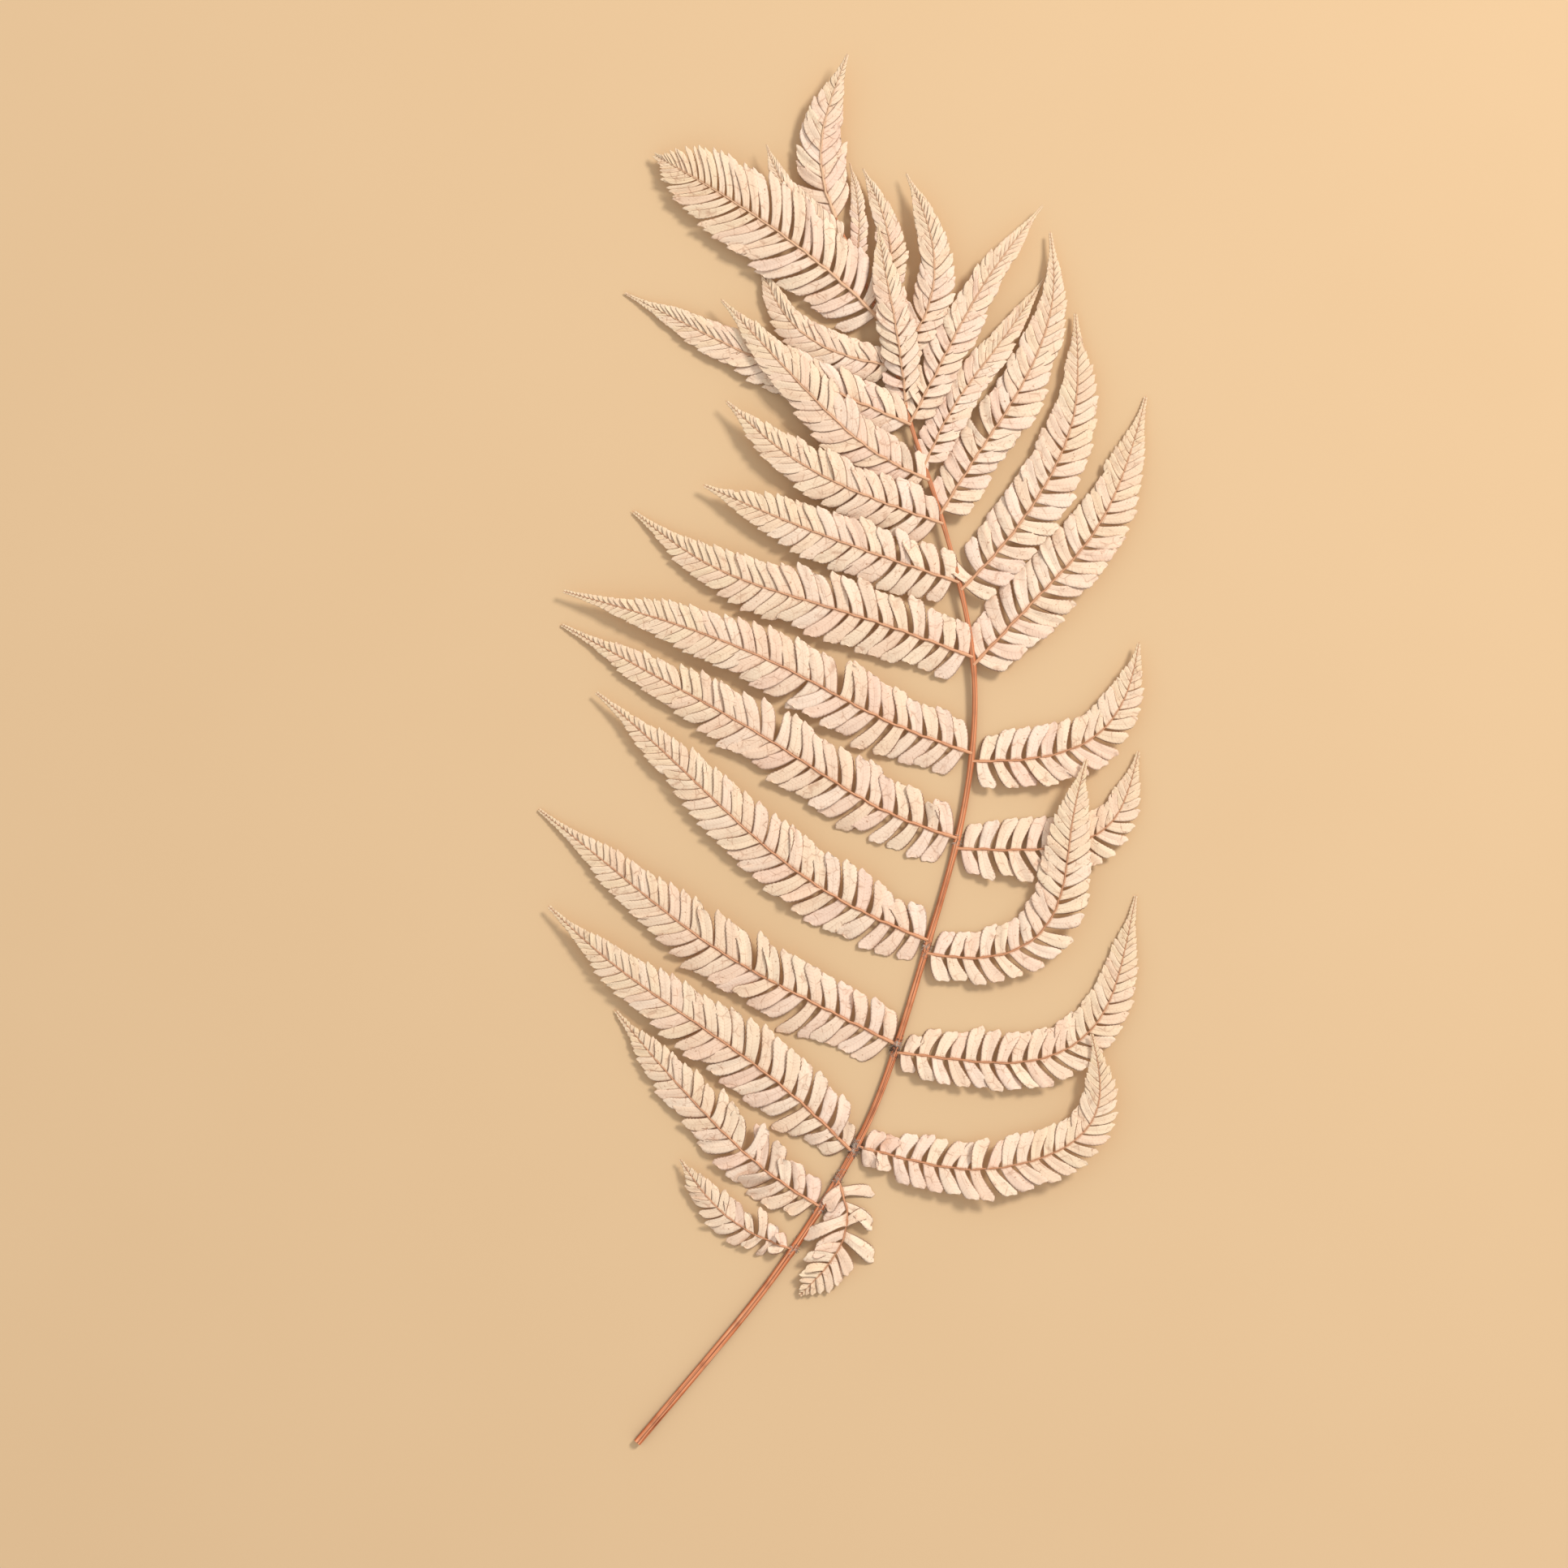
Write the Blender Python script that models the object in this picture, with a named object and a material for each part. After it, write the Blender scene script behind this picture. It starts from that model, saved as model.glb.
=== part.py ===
"""Dried fern frond: one frond lying flat, its stalk, ribs and leaflets grown as one piece.

The frond is drawn in millimetres in the plane of the table (x right, y towards the tip)
and built in metres, +Z up, lying with its underside on z = 0.
"""

import math

import bmesh
import bpy
from mathutils import Vector

MM = 0.001

# Stalk: a bare length from the cut end, then the leafy rib up to the tip of the frond.
STALK_PATH = [(-58, -260), (-30, -227), (-6, -198), (17, -164), (34, -134), (45, -103), (57, -62),
              (69, -23), (75, 12), (76, 46), (70, 78), (59, 116), (50, 140), (44, 165), (36, 189),
              (25, 213), (15, 234), (13, 256), (25, 287)]
STALK_RADIUS_CUT = 1.85
STALK_RADIUS_MIDDLE = 1.35
STALK_RADIUS_TIP = 0.45
STALK_SIDES = 8
STALK_STEP = 22.0
STALK_FLAT_UNTIL = 250.0
STALK_RISE = 3.0
STALK_RISE_LENGTH = 150.0
STALK_END_BEFORE_TIP = 6.0
CURVE_STEPS = 14
HEADING_REACH = 3.0

# Each side branch: where it leaves the stalk (mm from the cut end), the points that its rib
# passes near, how high its arch is drawn, the height of its tip over the table and the
# length of its longest leaflets. The heights let the branches pass over one another, and
# let every second or third tip touch the table.
LEFT_BRANCHES = [
    (98, [(-13, -178), (-29, -166), (-41, -148)], 5.0, 2.5, 10.0),
    (118, [(-10, -152), (-37, -124), (-55, -104), (-67, -89)], 8.0, 0.0, 14.0),
    (143, [(3, -121), (-30, -97), (-68, -72), (-93, -48)], 9.0, 3.0, 16.5),
    (189, [(9, -85), (-30, -65), (-70, -31), (-97, -10)], 9.0, 0.0, 16.5),
    (232, [(21, -47), (-12, -22), (-48, 14), (-74, 36)], 9.0, 2.5, 16.5),
    (274, [(36, -11), (-2, 16), (-44, 39), (-88, 63)], 9.5, 0.0, 16.5),
    (308, [(37, 25), (4, 45), (-37, 62), (-87, 76)], 10.0, 4.0, 16.5),
    (346, [(40, 63), (6, 73), (-30, 84), (-60, 108)], 10.0, 0.0, 16.0),
    (376, [(37, 90), (1, 103), (-32, 118)], 9.0, 4.0, 15.0),
    (400, [(29, 114), (1, 128), (-23, 151)], 9.5, 5.0, 14.0),
    (418, [(31, 131), (1, 163), (-25, 191)], 11.0, 6.0, 14.5),
    (441, [(14, 157), (-21, 172), (-63, 194)], 7.0, 0.0, 15.0),
    (465, [(22, 168), (0, 181), (-10, 206)], 6.5, 1.0, 11.5),
    (484, [(22, 199), (-12, 225), (-51, 248)], 12.0, 3.0, 21.0),
    (519, [(11, 223), (-2, 237), (-7, 252)], 9.0, 6.0, 7.5),
]
RIGHT_BRANCHES = [
    (131, [(27, -172), (20, -188), (6, -202)], 6.0, 1.0, 10.0),
    (146, [(52, -149), (73, -153), (95, -150), (113, -143), (124, -131), (125, -115), (121, -98)],
     8.0, 6.0, 13.5),
    (186, [(70, -109), (92, -111), (112, -106), (126, -93), (133, -74), (139, -44)], 7.0, 0.0, 13.5),
    (227, [(73, -69.5), (90, -67), (103, -58.5), (110, -43), (112, -25), (114, -9), (119, 10)],
     8.5, 8.5, 13.5),
    (270, [(104, -27), (128, -20), (136, -4), (140, 13)], 5.0, 1.0, 14.0),
    (305, [(99, 9), (123, 16), (136, 34), (140, 56)], 8.0, 3.0, 14.0),
    (343, [(100, 74), (121, 95), (134, 120), (143, 153)], 9.0, 0.0, 16.0),
    (373, [(89, 96), (107, 123), (117, 149), (115, 186)], 8.5, 2.0, 16.0),
    (404, [(76, 130), (97, 160), (108, 191), (105, 218)], 9.0, 2.5, 15.5),
    (424, [(66, 150), (86, 174), (103, 200)], 9.0, 0.0, 11.5),
    (442, [(62, 166), (78, 198), (102, 228)], 11.5, 4.0, 14.0),
    (449, [(47, 160), (43, 186), (39, 204), (37, 220)], 16.0, 6.0, 13.5),
    (467, [(58, 184), (61, 213), (48, 241)], 10.5, 4.0, 12.0),
    (490, [(44, 202), (40, 224), (31, 243)], 7.5, 3.0, 9.0),
    (508, [(30, 218), (29, 232), (26, 245)], 4.0, 1.5, 5.0),
]

# The last stretch of the stalk carries leaflets itself, as one blade.
TIP_BLADE_START = 528.0
TIP_BLADE_ARCH = 7.5
TIP_BLADE_END = 8.0
TIP_BLADE_LEAFLET = 15.0
TIP_BLADE_POINTS = 12

# Leaflets: blunt lobes cut nearly to the rib of a thin, slightly arched and tilted blade.
LEAFLET_PITCH_BASE = 4.8
LEAFLET_PITCH_SHARE = 0.3
LEAFLET_PITCH_TIP_SHARE = 0.5
LEAFLET_LEAN = math.radians(62)
LEAFLET_LEAN_TIP = math.radians(48)
LEAFLET_REAR = 0.20
LEAFLET_FRONT = 0.84
LEAFLET_MIDDLE = 0.5
LEAFLET_REAR_LENGTH = 0.88
LEAFLET_FIRST_SHARE = 0.74
LEAFLET_TAPER_POWER = 2.6
POINTED_BELOW = 5.0
NOTCH_HALF_WIDTH = 1.0
NOTCH_HALF_WIDTH_TIP = 0.45
RIB_RIDGE = 0.45
BLADE_THICKNESS = 0.65
BLADE_TILT = math.tan(math.radians(7.5))
BLADE_DROOP = 0.045
BLADE_ABOVE_STALK_MIDDLE = 0.35
BLADE_CLEAR_OF_TABLE = 0.02
TIP_MARGIN = 1.6
BARE_ROOT = 1.2
SMOOTH_BELOW = math.radians(40)

FROND_COLOUR = (0.88, 0.72, 0.57, 1.0)
FROND_ROUGHNESS = 0.8


def clear_scene():
    for item in list(bpy.data.objects):
        bpy.data.objects.remove(item, do_unlink=True)


def smooth_curve(controls):
    """Clamped cubic B-spline through the first and last control point, as a list of points."""
    padded = [controls[0]] * 2 + list(controls) + [controls[-1]] * 2
    points = []
    for i in range(len(padded) - 3):
        a, b, c, d = padded[i:i + 4]
        for k in range(CURVE_STEPS):
            t = k / CURVE_STEPS
            wa = (1 - t) ** 3 / 6
            wb = (3 * t ** 3 - 6 * t ** 2 + 4) / 6
            wc = (-3 * t ** 3 + 3 * t ** 2 + 3 * t + 1) / 6
            wd = t ** 3 / 6
            x = a[0] * wa + b[0] * wb + c[0] * wc + d[0] * wd
            y = a[1] * wa + b[1] * wb + c[1] * wc + d[1] * wd
            points.append(Vector((x, y, 0)))
    points.append(Vector((controls[-1][0], controls[-1][1], 0)))
    return points


class Path:
    """A drawn curve that gives a point and a heading at any distance along it."""

    def __init__(self, points):
        self.points = points
        self.marks = [0.0]
        for a, b in zip(points, points[1:]):
            self.marks.append(self.marks[-1] + (b - a).length)
        self.length = self.marks[-1]

    def at(self, distance):
        distance = min(max(distance, 0.0), self.length)
        i = 0
        while i < len(self.marks) - 2 and self.marks[i + 1] < distance:
            i += 1
        span = max(self.marks[i + 1] - self.marks[i], 1e-9)
        return self.points[i].lerp(self.points[i + 1], (distance - self.marks[i]) / span)

    def heading(self, distance):
        ahead = self.at(distance + HEADING_REACH) - self.at(distance - HEADING_REACH)
        return math.atan2(ahead.y, ahead.x)


def smoothstep(value):
    value = min(max(value, 0.0), 1.0)
    return value * value * (3 - 2 * value)


STALK = Path(smooth_curve(STALK_PATH))


def stalk_radius(distance):
    middle = STALK.length * 0.5
    if distance < middle:
        share = distance / middle
        return STALK_RADIUS_CUT + (STALK_RADIUS_MIDDLE - STALK_RADIUS_CUT) * share
    share = (distance - middle) / (STALK.length - middle)
    return STALK_RADIUS_MIDDLE + (STALK_RADIUS_TIP - STALK_RADIUS_MIDDLE) * share


def stalk_height(distance):
    """Height of the middle of the stalk: its underside lies on the table, then rises a little."""
    flat = stalk_radius(distance) * math.cos(math.pi / STALK_SIDES)
    return flat + STALK_RISE * smoothstep((distance - STALK_FLAT_UNTIL) / STALK_RISE_LENGTH)


def make_object(name, verts, faces):
    """A mesh object from points in millimetres, with its faces turned outwards."""
    mesh = bpy.data.meshes.new(name)
    mesh.from_pydata([(v[0] * MM, v[1] * MM, v[2] * MM) for v in verts], [], faces)
    body = bmesh.new()
    body.from_mesh(mesh)
    bmesh.ops.recalc_face_normals(body, faces=body.faces)
    body.to_mesh(mesh)
    body.free()
    item = bpy.data.objects.new(name, mesh)
    bpy.context.collection.objects.link(item)
    return item


def build_stalk():
    """A tapering tube with flat sides, one of them lying on the table."""
    end = STALK.length - STALK_END_BEFORE_TIP
    count = int(round(end / STALK_STEP))
    verts = []
    faces = []
    for i in range(count + 1):
        distance = end * i / count
        centre = STALK.at(distance)
        heading = STALK.heading(distance)
        radius = stalk_radius(distance)
        side = Vector((-math.sin(heading), math.cos(heading), 0))
        for k in range(STALK_SIDES):
            turn = 2 * math.pi * (k + 0.5) / STALK_SIDES
            point = centre + side * (radius * math.sin(turn))
            verts.append((point.x, point.y, stalk_height(distance) + radius * math.cos(turn)))
    for i in range(count):
        for k in range(STALK_SIDES):
            a = i * STALK_SIDES + k
            b = i * STALK_SIDES + (k + 1) % STALK_SIDES
            faces.append((a, b, b + STALK_SIDES))
            faces.append((a, b + STALK_SIDES, a + STALK_SIDES))
    faces.append(tuple(range(STALK_SIDES)))
    faces.append(tuple(count * STALK_SIDES + k for k in range(STALK_SIDES)))
    return make_object("stalk", verts, faces)


def leaflet_share(share):
    """Length of a leaflet against the longest one, by how far along the branch it stands."""
    return min(LEAFLET_FIRST_SHARE + share, 1.0) * (1 - share ** LEAFLET_TAPER_POWER)


def leaflet_pitch(longest):
    """Spacing of the leaflets along a rib: longer leaflets are broader and stand further apart."""
    return LEAFLET_PITCH_BASE + LEAFLET_PITCH_SHARE * longest


def build_blade(path, start_height, arch, tip_height, first, longest):
    """One side branch: a thin blade with a rib, cut into leaflets on both sides."""
    length = path.length
    pitch = leaflet_pitch(longest)

    def rib_height(distance):
        t = distance / length
        rest = BLADE_THICKNESS + tip_height
        return start_height * (1 - t) ** 2 + 2 * t * (1 - t) * arch + rest * t * t

    stations = [0.0, first]
    while True:
        here = stations[-1] / length
        step = pitch * (LEAFLET_PITCH_TIP_SHARE + (1 - LEAFLET_PITCH_TIP_SHARE) * leaflet_share(here))
        if stations[-1] + step > length - TIP_MARGIN:
            break
        stations.append(stations[-1] + step)

    verts = []
    faces = []

    def place(distance, side, reach, lean):
        """A point of the blade's top: out from the rib at a leaning angle, tilted and drooping."""
        base = path.at(distance)
        heading = path.heading(distance)
        angle = heading + side * lean
        point = base + Vector((math.cos(angle), math.sin(angle), 0)) * reach
        across = side * reach * math.sin(lean)
        lift = -across * BLADE_TILT - BLADE_DROOP * reach * reach / longest
        point.z = max(rib_height(distance) + lift, BLADE_THICKNESS + BLADE_CLEAR_OF_TABLE)
        return point

    def add_pair(point):
        verts.append(tuple(point))
        verts.append((point.x, point.y, point.z - BLADE_THICKNESS))
        return len(verts) - 2

    def add_rib(distance):
        point = path.at(distance)
        verts.append((point.x, point.y, rib_height(distance) + RIB_RIDGE))
        return len(verts) - 1

    def wall(a, b):
        faces.append((a, b, b + 1))
        faces.append((a, b + 1, a + 1))

    def sheet(a, b, c):
        """A triangle of the blade, the same on its top and its underside."""
        faces.append((a, b, c))
        faces.append((a + 1, c + 1, b + 1))

    ribs = [add_rib(distance) for distance in stations]
    notches = {}
    for side in (1, -1):
        row = []
        for distance in stations:
            share = distance / length
            half = NOTCH_HALF_WIDTH + (NOTCH_HALF_WIDTH_TIP - NOTCH_HALF_WIDTH) * share
            row.append(add_pair(place(distance, side, half, math.pi / 2)))
        notches[side] = row
    end_point = path.at(length)
    end_point.z = BLADE_THICKNESS + tip_height
    tip = add_pair(end_point)

    for i in range(len(stations) - 1):
        left, left_next = notches[1][i], notches[1][i + 1]
        right, right_next = notches[-1][i], notches[-1][i + 1]
        faces.append((left, ribs[i], ribs[i + 1]))
        faces.append((left, ribs[i + 1], left_next))
        faces.append((ribs[i], right, right_next))
        faces.append((ribs[i], right_next, ribs[i + 1]))
        faces.append((left + 1, left_next + 1, right_next + 1))
        faces.append((left + 1, right_next + 1, right + 1))
        gap = stations[i + 1] - stations[i]
        middle = (stations[i] + stations[i + 1]) / 2 / length
        if i == 0:
            wall(left, left_next)
            wall(right_next, right)
            continue
        reach = longest * leaflet_share(middle)
        lean = LEAFLET_LEAN + (LEAFLET_LEAN_TIP - LEAFLET_LEAN) * middle
        for side, a, b in ((1, left, left_next), (-1, right, right_next)):
            if reach > POINTED_BELOW:
                at_rear = stations[i] + gap * LEAFLET_REAR
                at_front = stations[i] + gap * LEAFLET_FRONT
                rear = add_pair(place(at_rear, side, reach * LEAFLET_REAR_LENGTH, lean))
                front = add_pair(place(at_front, side, reach, lean))
                sheet(a, rear, front)
                sheet(a, front, b)
                wall(a, rear)
                wall(rear, front)
                wall(front, b)
            else:
                point = add_pair(place(stations[i] + gap * LEAFLET_MIDDLE, side, reach, lean))
                sheet(a, point, b)
                wall(a, point)
                wall(point, b)

    a, b = notches[1][0], notches[-1][0]
    faces.append((a, a + 1, b + 1, b, ribs[0]))
    a, b = notches[1][-1], notches[-1][-1]
    faces.append((ribs[-1], tip, a))
    faces.append((b, tip, ribs[-1]))
    faces.append((a + 1, tip + 1, b + 1))
    wall(a, tip)
    wall(tip, b)
    return make_object("blade", verts, faces)


def build_branch(station, points, arch, tip_height, longest):
    root = STALK.at(station)
    path = Path(smooth_curve([(root.x, root.y)] + points))
    start = stalk_height(station) + BLADE_ABOVE_STALK_MIDDLE
    first = stalk_radius(station) + BARE_ROOT
    return build_blade(path, start, arch, tip_height, first, longest)


def build_tip():
    points = []
    for i in range(TIP_BLADE_POINTS + 1):
        share = i / TIP_BLADE_POINTS
        points.append(STALK.at(TIP_BLADE_START + (STALK.length - TIP_BLADE_START) * share))
    start = stalk_height(TIP_BLADE_START) + BLADE_ABOVE_STALK_MIDDLE
    return build_blade(Path(points), start, TIP_BLADE_ARCH, TIP_BLADE_END, BARE_ROOT, TIP_BLADE_LEAFLET)


def join_parts(base, parts):
    """Union of all the blades with the stalk, in one Boolean on a collection."""
    group = bpy.data.collections.new("blades")
    bpy.context.scene.collection.children.link(group)
    for item in parts:
        bpy.context.collection.objects.unlink(item)
        group.objects.link(item)
        item.hide_render = True
        item.display_type = "WIRE"
    union = base.modifiers.new("join", "BOOLEAN")
    union.operation = "UNION"
    union.operand_type = "COLLECTION"
    union.collection = group
    union.solver = "MANIFOLD"
    depsgraph = bpy.context.evaluated_depsgraph_get()
    mesh = bpy.data.meshes.new_from_object(base.evaluated_get(depsgraph))
    base.modifiers.clear()
    base.data = mesh
    for item in parts:
        bpy.data.objects.remove(item, do_unlink=True)
    bpy.data.collections.remove(group)
    return base


def centre_on_box(item):
    """Puts the origin under the middle of the bounding box, with the underside on z = 0."""
    xs = [v.co.x for v in item.data.vertices]
    ys = [v.co.y for v in item.data.vertices]
    zs = [v.co.z for v in item.data.vertices]
    shift = Vector(((min(xs) + max(xs)) / 2, (min(ys) + max(ys)) / 2, min(zs)))
    for vertex in item.data.vertices:
        vertex.co -= shift
    print("box mm", [round((max(a) - min(a)) / MM, 2) for a in (xs, ys, zs)])
    print("shift mm", [round(a / MM, 3) for a in shift])


def make_material(name, colour, roughness):
    material = bpy.data.materials.new(name)
    material.use_nodes = True
    shader = material.node_tree.nodes["Principled BSDF"]
    shader.inputs["Base Color"].default_value = colour
    shader.inputs["Roughness"].default_value = roughness
    return material


clear_scene()
frond = build_stalk()
blades = [build_branch(*branch) for branch in LEFT_BRANCHES + RIGHT_BRANCHES]
blades.append(build_tip())
frond = join_parts(frond, blades)
centre_on_box(frond)
frond.name = "frond"
frond.data.name = "frond"
frond.data.materials.clear()
frond.data.materials.append(make_material("dried_frond", FROND_COLOUR, FROND_ROUGHNESS))
frond.data.shade_smooth()
frond.data.set_sharp_from_angle(angle=SMOOTH_BELOW)
print("triangles", sum(len(p.vertices) - 2 for p in frond.data.polygons))
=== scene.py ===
# %% [markdown]
# # A dried fern frond
# This is one frond of a fern, bleached and pressed until it is as dry and light as paper. It grew
# as one piece: a stalk, side branches, and hundreds of leaflets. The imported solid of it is
# loaded first. It is right in size and place, but its leaflets are few and plain. Everything
# below stands where that solid stands and shows the real surface.

# %% Load the fixed frame
import math
import random
from collections import namedtuple

import bpy
import numpy as np
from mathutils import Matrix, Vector


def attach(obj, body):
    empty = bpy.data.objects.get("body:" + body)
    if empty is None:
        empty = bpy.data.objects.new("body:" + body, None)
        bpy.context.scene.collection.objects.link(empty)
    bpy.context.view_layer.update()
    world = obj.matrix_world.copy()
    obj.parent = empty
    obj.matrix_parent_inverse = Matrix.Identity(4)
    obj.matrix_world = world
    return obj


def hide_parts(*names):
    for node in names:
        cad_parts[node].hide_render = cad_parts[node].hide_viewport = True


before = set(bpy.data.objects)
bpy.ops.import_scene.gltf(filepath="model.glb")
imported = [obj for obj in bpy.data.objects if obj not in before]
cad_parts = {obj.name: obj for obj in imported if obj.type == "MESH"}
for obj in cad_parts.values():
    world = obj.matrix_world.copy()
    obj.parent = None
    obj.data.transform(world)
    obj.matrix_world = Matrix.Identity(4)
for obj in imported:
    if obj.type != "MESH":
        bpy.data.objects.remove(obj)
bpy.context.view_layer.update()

MM = 0.001

# %% [markdown]
# ## The drawing of the frond
# A fern frond is a tree of curves: the stalk runs from the cut end to the tip, and each side
# branch leaves it at its own place. Curve objects with a bevel could draw them, but the
# leaflets need a point and a direction anywhere along each curve. So every curve here is a
# list of points on a smooth spline, in millimetres, and one small class reads it by distance.

# %% Smooth curves that can be read at any distance
CURVE_STEPS = 14
HEADING_REACH = 3.0


def smooth_curve(controls):
    """Clamped cubic B-spline through the first and last control point, as a list of points."""
    padded = [controls[0]] * 2 + list(controls) + [controls[-1]] * 2
    points = []
    for i in range(len(padded) - 3):
        a, b, c, d = [np.array(p, float) for p in padded[i:i + 4]]
        for k in range(CURVE_STEPS):
            t = k / CURVE_STEPS
            wa = (1 - t) ** 3 / 6
            wb = (3 * t ** 3 - 6 * t ** 2 + 4) / 6
            wc = (-3 * t ** 3 + 3 * t ** 2 + 3 * t + 1) / 6
            wd = t ** 3 / 6
            points.append(a * wa + b * wb + c * wc + d * wd)
    points.append(np.array(controls[-1], float))
    return np.array(points)


class Path:
    """A drawn curve that gives a point and a heading at any distance along it."""

    def __init__(self, points):
        self.points = points
        steps = np.linalg.norm(np.diff(points, axis=0), axis=1)
        self.marks = np.concatenate([[0.0], np.cumsum(steps)])
        self.length = float(self.marks[-1])

    def at(self, distance):
        x = np.interp(distance, self.marks, self.points[:, 0])
        y = np.interp(distance, self.marks, self.points[:, 1])
        return np.array((x, y))

    def heading(self, distance):
        ahead = self.at(distance + HEADING_REACH) - self.at(distance - HEADING_REACH)
        return math.atan2(ahead[1], ahead[0])


STALK_PATH = [(-58, -260), (-30, -227), (-6, -198), (17, -164), (34, -134), (45, -103), (57, -62),
              (69, -23), (75, 12), (76, 46), (70, 78), (59, 116), (50, 140), (44, 165), (36, 189),
              (25, 213), (15, 234), (13, 256), (25, 287)]
STALK = Path(smooth_curve(STALK_PATH))
print("the stalk is", round(STALK.length), "mm long")

# %% [markdown]
# Each side branch is one line of numbers: where it leaves the stalk, the points that its rib
# passes near, how high it arches, how high its tip lies, and its longest leaflet, all in mm.
# The curves and heights are those of the solid, so the fine leaflets land on its broad ones.
# Only the longest leaflets of some of the right branches differ from it, by less than 3 mm.

# %% The side branches
LEFT_BRANCHES = [
    (98, [(-13, -178), (-29, -166), (-41, -148)], 5.0, 2.5, 10.0),
    (118, [(-10, -152), (-37, -124), (-55, -104), (-67, -89)], 8.0, 0.0, 14.0),
    (143, [(3, -121), (-30, -97), (-68, -72), (-93, -48)], 9.0, 3.0, 16.5),
    (189, [(9, -85), (-30, -65), (-70, -31), (-97, -10)], 9.0, 0.0, 16.5),
    (232, [(21, -47), (-12, -22), (-48, 14), (-74, 36)], 9.0, 2.5, 16.5),
    (274, [(36, -11), (-2, 16), (-44, 39), (-88, 63)], 9.5, 0.0, 16.5),
    (308, [(37, 25), (4, 45), (-37, 62), (-87, 76)], 10.0, 4.0, 16.5),
    (346, [(40, 63), (6, 73), (-30, 84), (-60, 108)], 10.0, 0.0, 16.0),
    (376, [(37, 90), (1, 103), (-32, 118)], 9.0, 4.0, 15.0),
    (400, [(29, 114), (1, 128), (-23, 151)], 9.5, 5.0, 14.0),
    (418, [(31, 131), (1, 163), (-25, 191)], 11.0, 6.0, 14.5),
    (441, [(14, 157), (-21, 172), (-63, 194)], 7.0, 0.0, 15.0),
    (465, [(22, 168), (0, 181), (-10, 206)], 6.5, 1.0, 11.5),
    (484, [(22, 199), (-12, 225), (-51, 248)], 12.0, 3.0, 21.0),
    (519, [(11, 223), (-2, 237), (-7, 252)], 9.0, 6.0, 7.5),
]
RIGHT_BRANCHES = [
    (131, [(27, -172), (20, -188), (6, -202)], 6.0, 1.0, 12.5),
    (146, [(52, -149), (73, -153), (95, -150), (113, -143), (124, -131), (125, -115), (121, -98)],
     8.0, 6.0, 13.5),
    (186, [(70, -109), (92, -111), (112, -106), (126, -93), (133, -74), (139, -44)], 7.0, 0.0, 13.5),
    (227, [(73, -69.5), (90, -67), (103, -58.5), (110, -43), (112, -25), (114, -9), (119, 10)],
     8.5, 8.5, 13.5),
    (270, [(104, -27), (128, -20), (136, -4), (140, 13)], 5.0, 1.0, 14.0),
    (305, [(99, 9), (123, 16), (136, 34), (140, 56)], 8.0, 3.0, 14.0),
    (343, [(100, 74), (121, 95), (134, 120), (143, 153)], 9.0, 0.0, 16.0),
    (373, [(89, 96), (107, 123), (117, 149), (115, 186)], 8.5, 2.0, 15.0),
    (404, [(76, 130), (97, 160), (108, 191), (105, 218)], 9.0, 2.5, 13.5),
    (424, [(66, 150), (86, 174), (103, 200)], 9.0, 0.0, 10.5),
    (442, [(62, 166), (78, 198), (102, 228)], 11.5, 4.0, 12.0),
    (449, [(47, 160), (43, 186), (39, 204), (37, 220)], 16.0, 6.0, 10.8),
    (467, [(58, 184), (61, 213), (48, 241)], 10.5, 4.0, 11.0),
    (490, [(44, 202), (40, 224), (31, 243)], 7.5, 3.0, 8.5),
    (508, [(30, 218), (29, 232), (26, 245)], 4.0, 1.5, 5.0),
]
TIP_START = 528.0
TIP_POINTS = 13
TIP_ARCH = 7.5
TIP_END_HEIGHT = 8.0
TIP_LEAFLET = 15.0
print("side branches:", len(LEFT_BRANCHES), "on the left,", len(RIGHT_BRANCHES), "on the right")

# %% [markdown]
# ## Heights over the table
# A pressed frond isn't quite flat. The stalk lies on the table and lifts a little towards the
# tip, and each branch arches up from it and comes down again. A simulation could drop it on
# the table, but a few formulas give the same lie each time and keep it on the solid: a
# smooth step for the stalk and a parabola for each branch. The heights count from the table.

# %% How high the stalk and the branches lie
STALK_RADIUS_CUT = 1.85
STALK_RADIUS_MIDDLE = 1.35
STALK_RADIUS_TIP = 0.45
STALK_FLAT_SHARE = math.cos(math.pi / 8)
STALK_FLAT_UNTIL = 250.0
STALK_RISE = 3.0
STALK_RISE_LENGTH = 150.0
BLADE_ABOVE_STALK_MIDDLE = 0.35
BLADE_TOP = 0.65


def smoothstep(value):
    value = min(max(value, 0.0), 1.0)
    return value * value * (3 - 2 * value)


def stalk_radius(distance):
    half = STALK.length / 2
    radii = (STALK_RADIUS_CUT, STALK_RADIUS_MIDDLE, STALK_RADIUS_TIP)
    return float(np.interp(distance, (0, half, STALK.length), radii))


def stalk_height(distance):
    lift = STALK_RISE * smoothstep((distance - STALK_FLAT_UNTIL) / STALK_RISE_LENGTH)
    return stalk_radius(distance) * STALK_FLAT_SHARE + lift


class Branch:
    """A rib with its curve, its arch over the table and its longest leaflet."""

    def __init__(self, name, station, path, start, start_height, arch, tip_height, longest):
        self.name = name
        self.station = station
        self.path = path
        self.start = start
        self.start_height = start_height
        self.arch = arch
        self.end_height = BLADE_TOP + tip_height
        self.longest = longest

    def height(self, distance):
        t = distance / self.path.length
        ends = self.start_height * (1 - t) ** 2 + self.end_height * t * t
        return ends + 2 * t * (1 - t) * self.arch


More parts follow.
